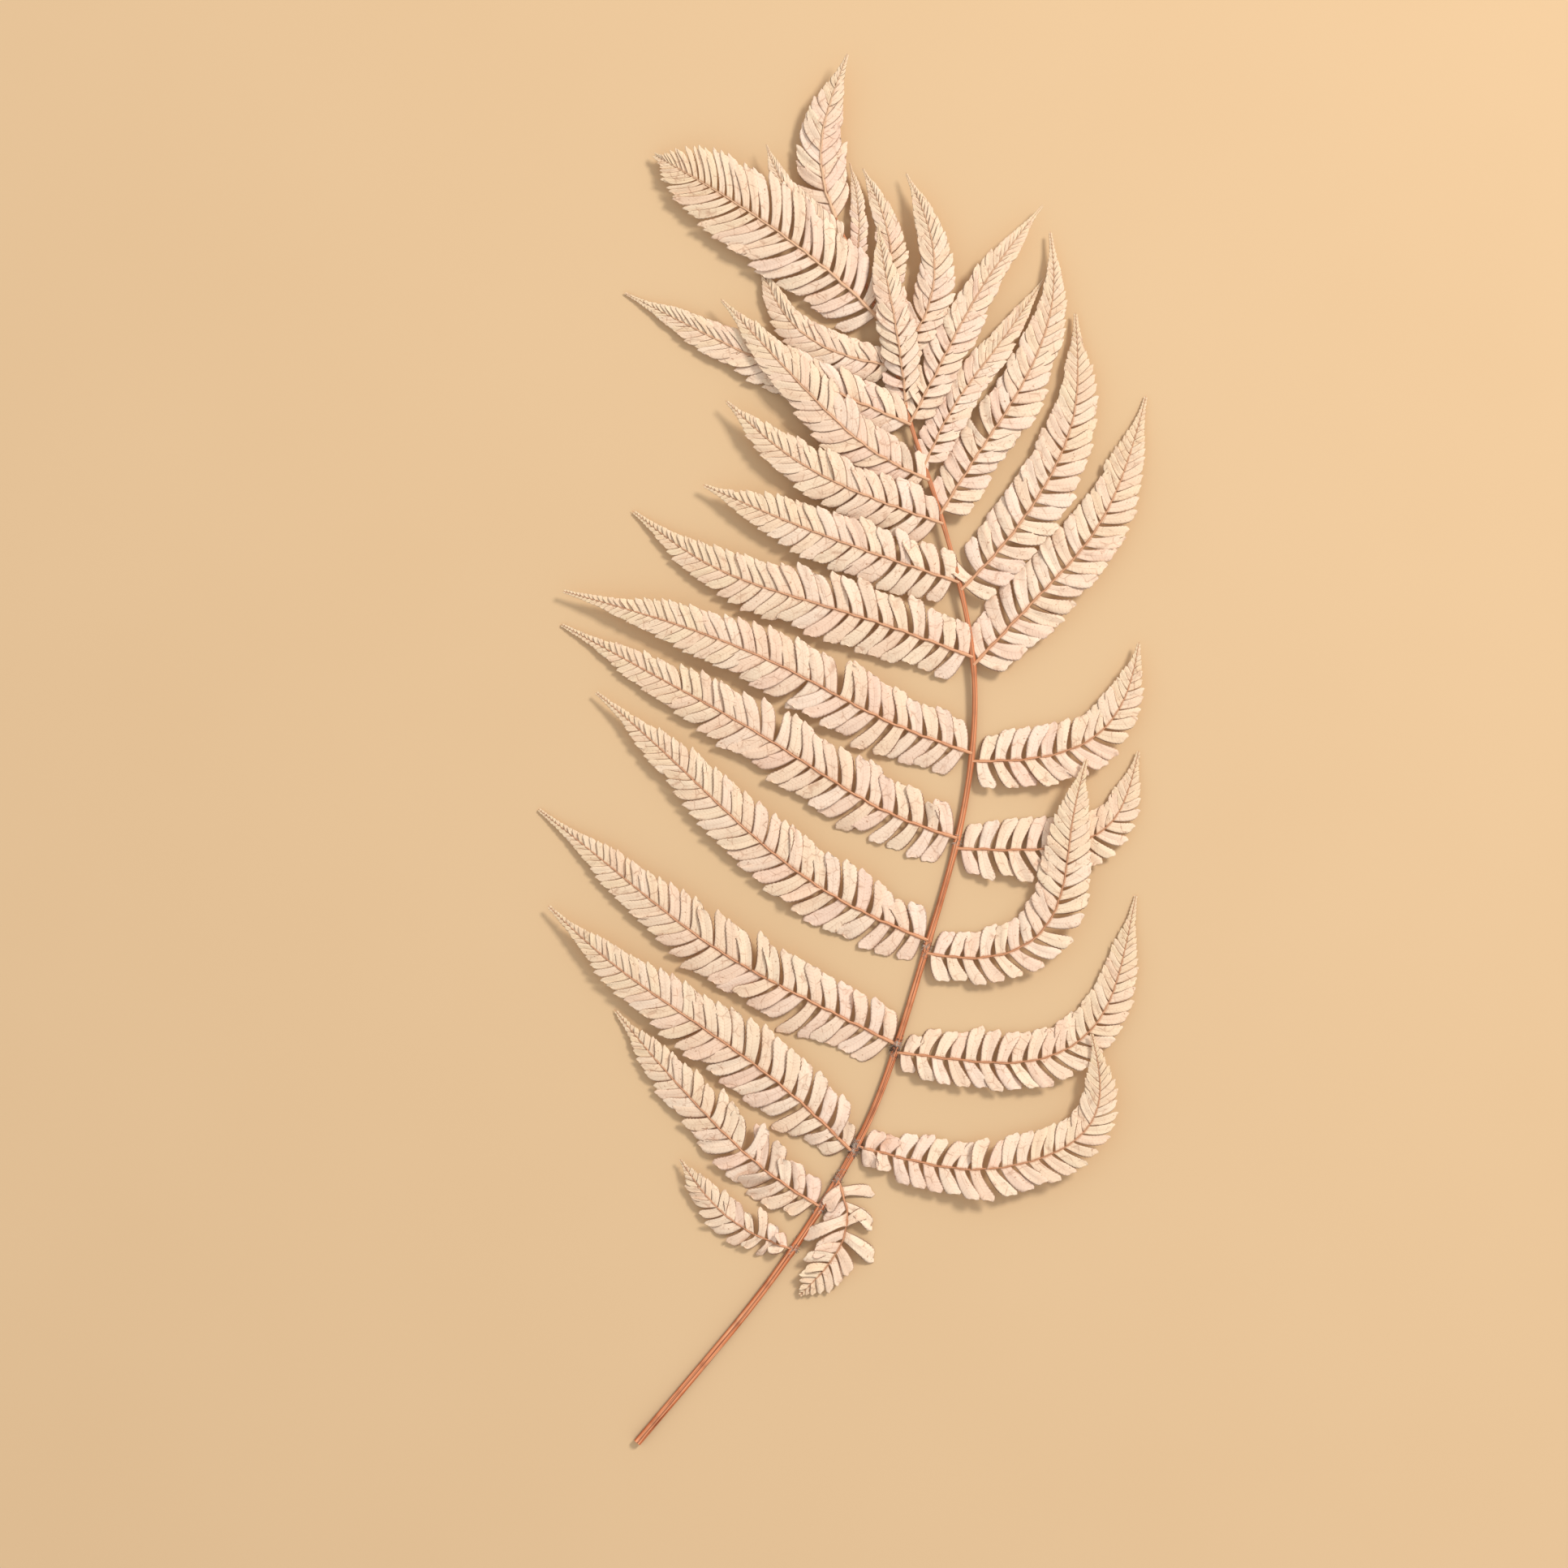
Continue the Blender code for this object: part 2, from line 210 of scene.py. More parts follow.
BARE_ROOT = 0.3
branches = []
for side, rows in (("left", LEFT_BRANCHES), ("right", RIGHT_BRANCHES)):
    for number, (station, points, arch, tip_height, longest) in enumerate(rows, 1):
        root = STALK.at(station)
        path = Path(smooth_curve([(root[0], root[1])] + points))
        start = stalk_radius(station) + BARE_ROOT
        start_height = stalk_height(station) + BLADE_ABOVE_STALK_MIDDLE
        branches.append(Branch(f"{side}_{number:02d}", station, path, start,
                               start_height, arch, tip_height, longest))
tip_path = Path(np.array([STALK.at(d) for d in np.linspace(TIP_START, STALK.length, TIP_POINTS)]))
tip_start_height = stalk_height(TIP_START) + BLADE_ABOVE_STALK_MIDDLE
branches.append(Branch("tip", TIP_START, tip_path, BARE_ROOT,
                       tip_start_height, TIP_ARCH, TIP_END_HEIGHT, TIP_LEAFLET))
print("ribs in all:", round(sum(b.path.length for b in branches)), "mm")

# %% [markdown]
# ## The shape of one leaflet
# A leaflet of this fern is a blunt tongue about 15 mm long. It grows from the rib along its
# whole foot, bends forward to the tip of the branch, and has small teeth round its end.
# An image with transparency could fake that on a flat card, but cards look cut out from the
# side. So each leaflet is a small grid of points, bent in code. Its two edges are drawn
# by widths at a few places along the leaflet, as shares of the room that it has on the rib.
# There are three outlines: open ones with gaps at the root of a branch, closed ones that
# touch further out, and pointed ones in the tail. A leaflet may lie between two of them.

# %% The outline of a leaflet
EDGE_AT = (0.0, 0.05, 0.14, 0.35, 0.58, 0.76, 0.87, 0.95, 1.0)
OPEN_REAR = (0.84, 0.76, 0.76, 0.87, 0.97, 0.98, 0.88, 0.64, 0.12)
OPEN_FRONT = (0.84, 0.72, 0.68, 0.77, 0.89, 0.95, 0.93, 0.78, 0.30)
CLOSED_REAR = (1.06, 1.04, 0.97, 0.97, 0.97, 0.84, 0.62, 0.36, 0.05)
CLOSED_FRONT = (1.06, 1.02, 0.93, 0.90, 0.92, 0.90, 0.79, 0.56, 0.18)
POINTED_REAR = (1.10, 1.08, 1.04, 0.92, 0.74, 0.52, 0.36, 0.20, 0.04)
POINTED_FRONT = (1.10, 1.06, 0.98, 0.82, 0.64, 0.46, 0.33, 0.20, 0.04)
TOOTH_DEPTH = 0.055
TOOTH_FROM = 0.30
TOOTH_GROWTH = 0.45
TOOTH_AT_EDGE = 6
END_CROWDING = 1.25


class Grid:
    """Rows and columns of one leaflet: where they lie, how wide it is there, and the faces."""

    def __init__(self, rows, columns, shapes):
        self.rows = rows
        self.columns = columns
        self.along = 1 - (1 - np.linspace(0, 1, rows + 1)) ** END_CROWDING
        self.across = np.linspace(-1, 1, columns + 1)
        self.widths = [self.width_of(rear, front) for rear, front in shapes]
        self.faces = self.closed_faces()
        ways = np.meshgrid(self.along, self.across * 0.5 + 0.5, indexing="ij")
        self.places = np.stack(ways, axis=2).reshape(-1, 2)

    def width_of(self, rear_shape, front_shape):
        """Half widths at each point of the grid, with teeth at the edges of its outer part."""
        teeth = np.where(np.arange(self.rows + 1) % 2 == 1, -TOOTH_DEPTH, TOOTH_DEPTH)
        teeth = teeth * np.clip((self.along - TOOTH_FROM) / TOOTH_GROWTH, 0, 1)
        teeth = teeth[:, None] * np.abs(self.across)[None, :] ** TOOTH_AT_EDGE
        rear = np.interp(self.along, EDGE_AT, rear_shape)[:, None] * (1 + teeth)
        front = np.interp(self.along, EDGE_AT, front_shape)[:, None] * (1 - teeth)
        return np.where(self.across[None, :] < 0, rear, front)

    def closed_faces(self):
        """Quads of the top, the underside and the rim, for points stored top first."""
        wide = self.columns + 1
        layer = wide * (self.rows + 1)
        faces = []
        for r in range(self.rows):
            for c in range(self.columns):
                a = r * wide + c
                faces.append((a, a + 1, a + wide + 1, a + wide))
                faces.append((a + layer, a + wide + layer, a + wide + 1 + layer, a + 1 + layer))
        rim = list(range(wide))
        rim += [r * wide + wide - 1 for r in range(1, self.rows + 1)]
        rim += [self.rows * wide + c for c in range(wide - 2, -1, -1)]
        rim += [r * wide for r in range(self.rows - 1, 0, -1)]
        for a, b in zip(rim, rim[1:] + rim[:1]):
            faces.append((b, a, a + layer, b + layer))
        return np.array(faces)


CLOSED_TO_OPEN = ((CLOSED_REAR, CLOSED_FRONT), (OPEN_REAR, OPEN_FRONT))
POINTED_TO_CLOSED = ((POINTED_REAR, POINTED_FRONT), (CLOSED_REAR, CLOSED_FRONT))
FINE_GRID = Grid(rows=20, columns=6, shapes=CLOSED_TO_OPEN)
COARSE_GRID = Grid(rows=6, columns=4, shapes=POINTED_TO_CLOSED)
COARSE_BELOW = 5.0
print("faces on a long leaflet:", len(FINE_GRID.faces), "and on a short one:", len(COARSE_GRID.faces))

# %% [markdown]
# Leaflets repeat, but no two are alike: each is a little longer or shorter, rolled, cupped or
# creased. The draws come from a random generator with a fixed seed, so the frond is the same
# each time. The grid gets a second layer just below it, because a leaf has a thickness that
# catches the light at its edge.

# %% Bend the grid into one leaflet
LEAF_THICKNESS = 0.16
LEAF_EDGE_THICKNESS = 0.08
FOOT_SHARE = 0.25
TURN_SHARE = 0.4
TURN_BY_BEND = 0.7
FREE_SHARE = 1 / 3
END_SLANT = 0.06
BLADE_TILT = math.tan(math.radians(7.5))
BLADE_DROOP = 0.045
GUTTER_DEPTH = 0.16
GUTTER_WIDTH = 0.18
LOWEST = 0.12
HIGHEST = 11.42
Leaflet = namedtuple("Leaflet", "branch at side pitch length lean mood")


def leaflet_plan(leaflet, u, v, width):
    """How far the points lie along the rib and out from it; the leaflet bends to the tip."""
    lean, bend = leaflet.lean, leaflet.mood["bend"]
    turned = (math.pi / 2 - lean) * np.minimum(u / TURN_SHARE, 1) + bend * u * TURN_BY_BEND
    far = u * (1 + END_SLANT * v * u ** 4)
    swerve = 0.5 * bend * far * far
    forward = leaflet.length * (math.cos(lean) * far + math.sin(lean) * swerve)
    out = leaflet.length * (math.sin(lean) * far - math.cos(lean) * swerve)
    return forward + np.cos(turned) * width, np.maximum(out - np.sin(turned) * width, 0.0)


def creases(u, v, phase):
    """Two sets of shallow waves that cross, as on a leaf that dried unevenly."""
    first = np.sin(2 * math.pi * (0.6 * v + 0.5 * u + phase))
    second = np.sin(2 * math.pi * (1.1 * v - 1.1 * u + 3.7 * phase))
    return first + 0.5 * second


def leaflet_height(leaflet, u, v, width, forward, out):
    """Height over the table: the rib's, then the leaflet's tilt, droop, curls and creases."""
    mood, length, pitch = leaflet.mood, leaflet.length, leaflet.pitch
    free = np.minimum(u / FREE_SHARE, 1)
    height = leaflet.branch.height(leaflet.at) - leaflet.side * out * BLADE_TILT
    height = height - BLADE_DROOP * (forward ** 2 + out ** 2) / leaflet.branch.longest
    height = height + width * mood["roll"] * free + mood["cup"] * width ** 2 / pitch
    height = height + mood["curl"] * length * u ** 3 + mood["arch"] * length * np.sin(math.pi * u)
    height = height + creases(u, v, mood["phase"]) * mood["crease"] * pitch * free
    return height - GUTTER_DEPTH * np.exp(-(v / GUTTER_WIDTH) ** 2) * (1 - u)


def leaflet_points(leaflet, grid, second):
    """Top and lower points of a leaflet; second is the share of the grid's second outline."""
    path = leaflet.branch.path
    u = grid.along[:, None]
    v = grid.across[None, :]
    shape = grid.widths[0] * (1 - second) + grid.widths[1] * second
    broader = 1 + (leaflet.mood["width"] - 1) * np.minimum(u / FOOT_SHARE, 1)
    width = shape * leaflet.pitch * 0.5 * broader * v
    forward, out = leaflet_plan(leaflet, u, v, width)
    heading = path.heading(leaflet.at)
    tangent = np.array((math.cos(heading), math.sin(heading)))
    outward = leaflet.side * np.array((-math.sin(heading), math.cos(heading)))
    flat = path.at(leaflet.at) + forward[..., None] * tangent + out[..., None] * outward
    height = leaflet_height(leaflet, u, v, width, forward, out)
    thick = LEAF_THICKNESS + (LEAF_EDGE_THICKNESS - LEAF_THICKNESS) * np.abs(v) * np.ones_like(u)
    height = np.clip(height, LOWEST + thick, HIGHEST)
    top = np.concatenate([flat, height[..., None]], axis=2)
    low = top.copy()
    low[..., 2] -= thick
    return np.concatenate([top.reshape(-1, 3), low.reshape(-1, 3)])


print("a leaf is", LEAF_THICKNESS, "mm thick in its middle and", LEAF_EDGE_THICKNESS, "at its edge")

# %% [markdown]
# ## Leaflets along a branch
# The leaflets stand in pairs along the rib, about 6 mm apart on the long branches and closer
# towards the tip. They are three quarters of their full length at the root, longest a third of
# the way out, and run out in a fine saw-toothed tail. A few tables say how that goes, and by
# name which branches differ: some are crumpled at the root, some stay open for longer.

# %% How leaflets change along a branch
TAPER_AT = (0.0, 0.20, 0.30, 0.40, 0.50, 0.62, 0.73, 0.79, 0.85, 0.90, 0.95, 1.0)
TAPER_SHARE = (0.74, 0.95, 0.96, 0.93, 0.88, 0.77, 0.61, 0.49, 0.33, 0.21, 0.13, 0.07)
TAPER_POWER = {"tip": 0.65, "left_14": 1.6,
               "right_01": 1.3, "right_02": 1.5, "right_03": 1.2, "right_04": 1.3}
PITCH_AT = (0.0, 0.40, 0.50, 0.59, 0.67, 0.757, 0.857, 0.943, 1.0)
PITCH_SHARE = (1.0, 0.97, 0.89, 0.79, 0.70, 0.58, 0.45, 0.27, 0.17)
PITCH_OF_LEAFLET = ((4, 9, 13, 17, 21), (2.8, 4.4, 6.2, 6.4, 6.3))
UPPER_STATIONS = (370.0, 430.0)
UPPER_PITCH_SHARE = 0.84
UPPER_LEAN = math.radians(-12)
UPPER_BEND = 0.16
UPPER_CLOSES_EARLIER = 0.30
BROAD_BRANCH = "left_14"
OPEN_UNTIL = {"left": (0.15, 0.55), "right": (0.40, 0.85),
              "tip": (-1.0, 0.0), BROAD_BRANCH: (0.70, 1.0)}


def upper_share(branch):
    """0 on the lower branches and 1 on the upper ones."""
    return float(np.interp(branch.station, UPPER_STATIONS, (0.0, 1.0)))


def pitch_of(branch):
    """Distance between pairs near the root. It is closer on the upper branches."""
    closer = 1 - (1 - UPPER_PITCH_SHARE) * upper_share(branch)
    return float(np.interp(branch.longest, *PITCH_OF_LEAFLET)) * closer


def outline_of(branch, t, length, upper):
    """The grid for a leaflet, and the share of that grid's second outline."""
    if length < COARSE_BELOW:
        return COARSE_GRID, smoothstep(length / COARSE_BELOW)
    first, last = OPEN_UNTIL.get(branch.name, OPEN_UNTIL[branch.name.split("_")[0]])
    out = t + UPPER_CLOSES_EARLIER * upper - first
    return FINE_GRID, 1 - smoothstep(out / (last - first))


print("pairs stand", [round(pitch_of(b), 1) for b in branches[:4]], "mm apart on the lowest branches")

# %% How leaflets lean
LEAN_ROOT = math.radians(79)
LEAN_TIP = math.radians(52)
TAIL_LEAN = math.radians(14)
TAIL_FROM = 0.8
UPRIGHT = {"right_02": 13.0, "right_03": 12.0, "right_04": 10.0, "right_05": 6.0, "right_06": 8.0}
SWAY = math.radians(4.0)
SWAY_LENGTH = 42.0
SWAY_APART = 0.2


def leaflet_lean(branch, t, middle, side, sway, upper):
    """Angle to the rib: nearly square at the root, sharper towards the tip, swaying a little."""
    lean = LEAN_ROOT + (LEAN_TIP - LEAN_ROOT) * t + UPPER_LEAN * upper
    lean -= TAIL_LEAN * smoothstep((t - TAIL_FROM) / (1 - TAIL_FROM))
    if side > 0:
        lean += math.radians(UPRIGHT.get(branch.name, 0.0)) * (1 - t)
    return lean + SWAY * math.sin(2 * math.pi * (middle / SWAY_LENGTH + sway + side * SWAY_APART))


print("leaflets lean", round(math.degrees(LEAN_ROOT)), "degrees at the root of a branch")

# %% How one leaflet differs from the rule
ODD_SHARE = 0.08
ODD_SHORTER = 0.06
leaf_random = random.Random(41)


def leaflet_mood(ragged):
    """Small random differences. A few leaflets are turned or twisted far more than the rest."""
    odd = leaf_random.random() < ODD_SHARE * ragged

    def draw(middle, spread):
        return leaf_random.gauss(middle, spread * ragged)

    return {
        "bend": 0.50 + draw(0, 0.11),
        "width": 1.0 + draw(0, 0.05),
        "roll": 0.12 + draw(0, 0.09) + odd * draw(0, 0.3),
        "cup": draw(-0.06, 0.17),
        "curl": draw(-0.015, 0.03),
        "arch": draw(0.012, 0.015),
        "crease": abs(draw(0, 0.018)) + 0.014,
        "phase": leaf_random.random(),
        "length": 1.0 + draw(0, 0.05) - odd * ODD_SHORTER,
        "lean": math.radians(draw(0, 3.2) + odd * draw(0, 9.0)),
    }


print("about one leaflet in", round(1 / ODD_SHARE), "is an odd one")

# %% [markdown]
# A particle system could scatter the leaflets, but each one has to meet its neighbours at the
# rib. So a loop walks along the rib and places them pair by pair, until the rib has run out.
# One leaflet of the lowest right branch is longer and lies across the stalk.

# %% Walk along a rib and place its leaflets
RAGGED = {"left_01": 2.2, "right_01": 2.6, "left_02": 1.5}
CRUMPLED_ROOTS = {"right_02": 1.8, "left_03": 1.2, "right_03": 0.8, "left_01": 1.0}
CRUMPLED_LENGTH = 9.0
CRUMPLED_SHORTER = 0.2
CRUMPLED_MOST = 1.5
CALM_AFTER = 0.30
CALM_SHARE = 0.55
OVER_STALK = ("right_01", 2, -1)
OVER_STALK_LONGER = 1.45
OVER_STALK_WIDER = 1.25
PAIR_OFFSET = 0.08
SHORTEST = 0.9
BARE_END = 0.4
LENGTH_UNIT = 25.0


def one_leaflet(branch, at, step, side, sway, pair):
    """The leaflet on one side of a pair, with its grid and its share of the second outline."""
    long = branch.path.length
    t = at / long
    upper = 0.0 if branch.name == BROAD_BRANCH else upper_share(branch)
    crumpled = CRUMPLED_ROOTS.get(branch.name, 0.0)
    crumpled *= math.exp(-((at - branch.start) / CRUMPLED_LENGTH) ** 2)
    calm = 1 - (1 - CALM_SHARE) * smoothstep((t - CALM_AFTER) / CALM_AFTER)
    mood = leaflet_mood(RAGGED.get(branch.name, 1.0) * calm + crumpled)
    mood["bend"] += UPPER_BEND * upper
    middle = at + step / 2 + side * step * PAIR_OFFSET
    outward = (middle / long) ** TAPER_POWER.get(branch.name, 1.0)
    share = float(np.interp(outward, TAPER_AT, TAPER_SHARE))
    share *= 1 - CRUMPLED_SHORTER * min(crumpled, CRUMPLED_MOST)
    length = max(branch.longest * share * mood["length"], SHORTEST)
    lean = leaflet_lean(branch, t, middle, side, sway, upper) + mood["lean"]
    grid, second = outline_of(branch, t, length, upper)
    if (branch.name, pair, side) == OVER_STALK:
        length *= OVER_STALK_LONGER
        step *= OVER_STALK_WIDER
    return Leaflet(branch, middle, side, step, length, lean, mood), grid, second


def branch_leaflets(branch):
    """Points, faces, place on the leaflet and colour draws of all leaflets of a branch."""
    points, faces, places, draws = [], [], [], []
    made = 0
    pair = 0
    at = branch.start
    sway = leaf_random.random()
    while True:
        t = at / branch.path.length
        step = pitch_of(branch) * float(np.interp(t, PITCH_AT, PITCH_SHARE))
        if at + step > branch.path.length - BARE_END:
            break
        for side in (1, -1):
            leaflet, grid, second = one_leaflet(branch, at, step, side, sway, pair)
            points.append(leaflet_points(leaflet, grid, second))
            faces.append((grid.faces if side < 0 else grid.faces[:, ::-1]) + made)
            made += len(points[-1])
            places.append(np.tile(grid.places, (2, 1)))
            colour = (leaf_random.random(), leaf_random.random(), t, leaflet.length / LENGTH_UNIT)
            draws.append(np.tile(colour, (len(points[-1]), 1)))
        at += step
        pair += 1
    return points, faces, places, draws


print("the tip's leaflets stand", round(pitch_of(branches[-1]), 1), "mm apart at its root")

# %% [markdown]
# The points become one mesh for each branch. Two things are stored on it for the material:
# a UV map that says how far along and across its leaflet each point lies, which places the
# veins, and a colour attribute with two random draws, which give each leaflet its own tint,
# how far out on the branch the leaflet is, and its length as a share of 25 mm.

# %% Turn points into mesh objects
FRAME_SHIFT = Vector((23.239, 12.947, 0.0))


def to_frame(points):
    """From drawing millimetres to the frame's metres."""
    moved = np.array(points, float)
    moved[:, 0] -= FRAME_SHIFT.x
    moved[:, 1] -= FRAME_SHIFT.y
    return moved * MM


def mesh_piece(name, points, faces, places=None, draws=None):
    """A smooth-shaded mesh with its UV map and its colour draws."""
    mesh = bpy.data.meshes.new(name)
    mesh.from_pydata(to_frame(points).tolist(), [], [tuple(int(i) for i in f) for f in faces])
    corners = np.zeros(len(mesh.loops), dtype=np.int32)
    mesh.loops.foreach_get("vertex_index", corners)
    if places is not None:
        layer = mesh.uv_layers.new(name="place")
        layer.data.foreach_set("uv", np.array(places, np.float32)[corners].ravel())
    if draws is not None:
        tint = mesh.color_attributes.new("draws", "FLOAT_COLOR", "POINT")
        tint.data.foreach_set("color", np.array(draws, np.float32).ravel())
    mesh.shade_smooth()
    piece = bpy.data.objects.new(name, mesh)
    bpy.context.collection.objects.link(piece)
    return piece


leaf_pieces = []
leaflets = 0
for branch in branches:
    points, faces, places, draws = branch_leaflets(branch)
    leaflets += len(points)
    piece = mesh_piece("leaflets_" + branch.name, np.concatenate(points), np.concatenate(faces),
                       np.concatenate(places), np.concatenate(draws))
    leaf_pieces.append(piece)
print("leaflets:", leaflets, "quads:", sum(len(p.data.polygons) for p in leaf_pieces))

# %% [markdown]
# ## The ribs
# Each branch has a rib down its middle, a dry rust-brown cord about 1.2 mm thick, swollen
# where it leaves the stalk, that thins to a hair. A curve object with a bevel would do, but a
# tube made ring by ring can have small knots at the leaflets and a groove along its top, which
# real fern ribs have.

# %% Tubes made ring by ring
PLACE_UNIT = 10.0


def tube_points(centres, headings, radii, sides, outline):
    """Rings of points round a line; outline gives the share of the radius at each angle."""
    rings = []
    for centre, heading, radius in zip(centres, headings, radii):
        across = np.array((-math.sin(heading), math.cos(heading)))
        for k in range(sides):
            turn = 2 * math.pi * k / sides
            r = radius * outline(turn)
            x, y = centre[:2] + across * r * math.sin(turn)
            rings.append((x, y, centre[2] + r * math.cos(turn)))
    return np.array(rings)


def tube_faces(rings, sides):
    """Quads between each ring and the next."""
    faces = []
    for i in range(rings - 1):
        for k in range(sides):
            a = i * sides + k
            b = i * sides + (k + 1) % sides
            faces.append((a, b, b + sides, a + sides))
    return faces


def ring_draws(sides, out, station):
    """Colour draws of a ring: how far out, how far up and aside, and the branch's station."""
    turns = [2 * math.pi * k / sides for k in range(sides)]
    return [(out, 0.5 + 0.5 * math.cos(turn), 0.5 + 0.5 * math.sin(turn), station) for turn in turns]


print("first quad of a tube with four sides:", tube_faces(2, 4)[0])

# %% Ribs
RIB_SIDES = 8
RIB_STEP = 1.0
RIB_RADIUS_ROOT = 0.54
RIB_RADIUS_TIP = 0.12
RIB_THINNING = 0.8
RIB_SWELLING = 0.35
RIB_SWELLING_LENGTH = 4.0
RIB_KNOT = 0.22
RIB_KNOT_SHARPNESS = 4
RIB_WAVES = ((0.22, 13.0), (0.11, 5.7))
RIB_STRAIGHT_ROOT = 0.125
RIB_OF_LEAFLET = 15.0
RIB_LARGEST = 1.15
RIB_ABOVE_BLADE = 0.05
RIB_GROOVE_DEPTH = 0.30
RIB_GROOVE_ANGLE = 0.45


def rib_groove(turn):
    """A shallow groove along the top of the rib."""
    from_top = min(turn, 2 * math.pi - turn)
    return 1 - RIB_GROOVE_DEPTH * math.exp(-(from_top / RIB_GROOVE_ANGLE) ** 2)


def rib_radius(branch, at, size):
    """Thin at the tip, swollen at the root, with a small knot at each pair of leaflets."""
    t = at / branch.path.length
    root = RIB_RADIUS_ROOT * size
    thin = root + (RIB_RADIUS_TIP - root) * t ** RIB_THINNING
    pair = (at - branch.start) / pitch_of(branch)
    knot = (0.5 + 0.5 * math.cos(2 * math.pi * (pair - 0.5))) ** RIB_KNOT_SHARPNESS
    swelling = RIB_SWELLING * math.exp(-at / RIB_SWELLING_LENGTH)
    return thin * (1 + swelling + RIB_KNOT * knot * (1 - t))


def build_rib(branch):
    """One rib along its branch, wavering a little, as a cord that dried does."""
    long = branch.path.length
    count = int(long / RIB_STEP)
    size = min(branch.longest / RIB_OF_LEAFLET, RIB_LARGEST)
    centres, headings, radii, places, draws = [], [], [], [], []
    for i in range(count + 1):
        at = long * i / count
        t = at / long
        wave = sum(a * math.sin(2 * math.pi * at / length + size * 9) for a, length in RIB_WAVES)
        aside = wave * min(t / RIB_STRAIGHT_ROOT, 1) * (1 - t)
        heading = branch.path.heading(at)
        x, y = branch.path.at(at) + np.array((-math.sin(heading), math.cos(heading))) * aside
        centres.append((x, y, branch.height(at) + RIB_ABOVE_BLADE))
        headings.append(heading)
        radii.append(rib_radius(branch, at, size))
        places += [(at / PLACE_UNIT, 0.0)] * RIB_SIDES
        draws += ring_draws(RIB_SIDES, t, branch.station / STALK.length)
    points = tube_points(centres, headings, radii, RIB_SIDES, rib_groove)
    return mesh_piece("rib_" + branch.name, points, tube_faces(count + 1, RIB_SIDES), places, draws)


rib_pieces = [build_rib(branch) for branch in branches]
print("ribs:", len(rib_pieces))

# %% [markdown]
# ## The stalk
# The stalk is about 3.2 mm thick at the cut end. As it dried, its soft flesh shrank between
# the tough strands inside, so it is ridged along its length, with a deeper groove on top. A
# bump map could draw the ridges, but they show at the edge, so they are shaped. It thickens at
# each joint, and near the top it runs over into the rib of the tip.

# %% The ridged stalk
STALK_SIDES = 24
STALK_STEP = 2.5
STALK_SHRINKAGE = 0.87
STALK_MERGE = 14.0
STALK_END_SHARE = 0.35
STALK_GROOVE_DEPTH = 0.16
STALK_GROOVE_ANGLE = 0.28
JOINT_LENGTH = 3.5
JOINT_SWELLING = 0.12
JOINT_MOST = 1.2


def stalk_ridges(turn):
    """Five ridges with finer ones over them, and a deeper groove along the top."""
    ridges = 0.045 * math.cos(5 * turn + 0.6) + 0.02 * math.cos(11 * turn)
    from_top = min(turn, 2 * math.pi - turn)
    return 0.97 + ridges - STALK_GROOVE_DEPTH * math.exp(-(from_top / STALK_GROOVE_ANGLE) ** 2)


def shrunk_radius(distance):
    """Radius of the dried stalk, a little less than the solid's."""
    return STALK_SHRINKAGE * stalk_radius(distance)


def shrunk_height(distance):
    """Height of the middle of the dried stalk, which still lies on the table."""
    return stalk_height(distance) - (1 - STALK_SHRINKAGE) * stalk_radius(distance)


def build_stalk():
    """The stalk from its cut end to the place where the tip's rib takes over."""
    end = TIP_START + STALK_MERGE
    count = int(end / STALK_STEP)
    stations = [row[0] for row in LEFT_BRANCHES + RIGHT_BRANCHES]
    centres, headings, radii, places, draws = [], [], [], [], []
    for i in range(count + 1):
        at = end * i / count
        x, y = STALK.at(at)
        joints = sum(math.exp(-((at - station) / JOINT_LENGTH) ** 2) for station in stations)
        merged = smoothstep((at - TIP_START) / STALK_MERGE)
        radius = shrunk_radius(at) * (1 + JOINT_SWELLING * min(joints, JOINT_MOST))
        tip_height = branches[-1].height(max(at - TIP_START, 0.0))
        height = shrunk_height(at) + (tip_height - shrunk_height(at)) * merged
        centres.append((x, y, height))
        headings.append(STALK.heading(at))
        radii.append(radius * (1 - (1 - STALK_END_SHARE) * merged))
        places += [(at / PLACE_UNIT, 0.0)] * STALK_SIDES
        draws += ring_draws(STALK_SIDES, at / STALK.length, 0.0)
    points = tube_points(centres, headings, radii, STALK_SIDES, stalk_ridges)
    points[:, 2] = np.maximum(points[:, 2], 0.0)
    faces = tube_faces(count + 1, STALK_SIDES)
    faces.append(tuple(range(STALK_SIDES)))
    faces.append(tuple(count * STALK_SIDES + k for k in range(STALK_SIDES - 1, -1, -1)))
    return mesh_piece("stalk", points, faces, places, draws)


stalk = build_stalk()
print("faces on the stalk:", len(stalk.data.polygons))

# %% [markdown]
# ## Scales at the joints
# Ferns carry thin brown scales, like shreds of tissue, where the lowest branches leave the
# stalk. Hair particles could grow them, but a few hundred short strips are enough, and as real
# meshes they keep their curl wherever the frond is used. Each tuft is a number of strips
# round the stalk, pointing all ways.

# %% Tufts of scales
SCALE_JOINTS = ((98, 50), (118, 60), (131, 80), (145, 240), (188, 190), (229, 80), (272, 40))
SCALE_TUFT = 1.7
SCALE_TURN = 1.7
SCALE_LENGTH = 1.5
SCALE_WIDTH = 0.28
SCALE_TIP = 0.02
SCALE_TWIST = 0.06
SCALE_LOWEST = 0.15
SCALE_STEPS = 5
scale_random = random.Random(7)


